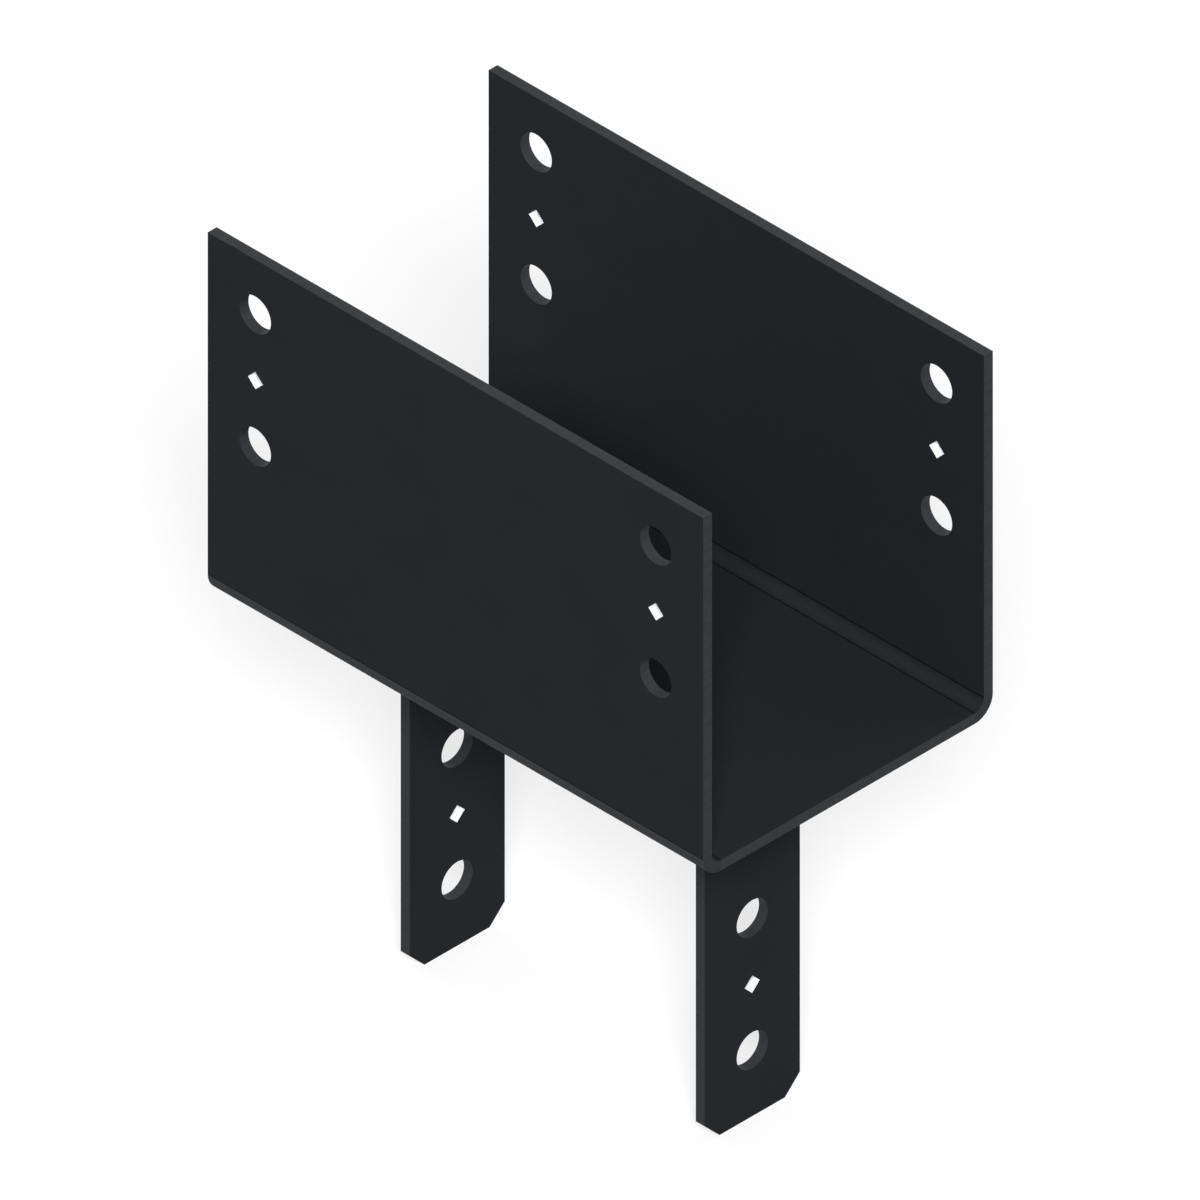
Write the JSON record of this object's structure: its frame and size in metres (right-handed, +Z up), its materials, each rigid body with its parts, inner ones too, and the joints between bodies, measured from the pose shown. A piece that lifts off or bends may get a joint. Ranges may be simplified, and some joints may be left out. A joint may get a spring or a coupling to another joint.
{
  "type": "column cap",
  "caption": "Welded steel column cap: a folded saddle bolts to a timber beam from both sides, and two straps under it bolt to the timber post.",
  "frame": {"origin": "middle of the saddle's underside, where it bears on the top of the post", "axes": "+X along the beam, +Y across it towards the far side plate, +Z up"},
  "size_m": [0.3302, 0.1932, 0.4252],
  "materials": {
    "black_powder_coat": "satin black powder coat on steel plate, with a fine texture and a greyer, thinner film on the cut edges",
    "coated_weld": "rippled fillet weld under the same satin black powder coat"
  },
  "bodies": {
    "root": {"saddle": "black_powder_coat", "front_strap": "black_powder_coat", "rear_strap": "black_powder_coat", "front_strap_weld": "coated_weld", "rear_strap_weld": "coated_weld"}
  },
  "joints": []
}
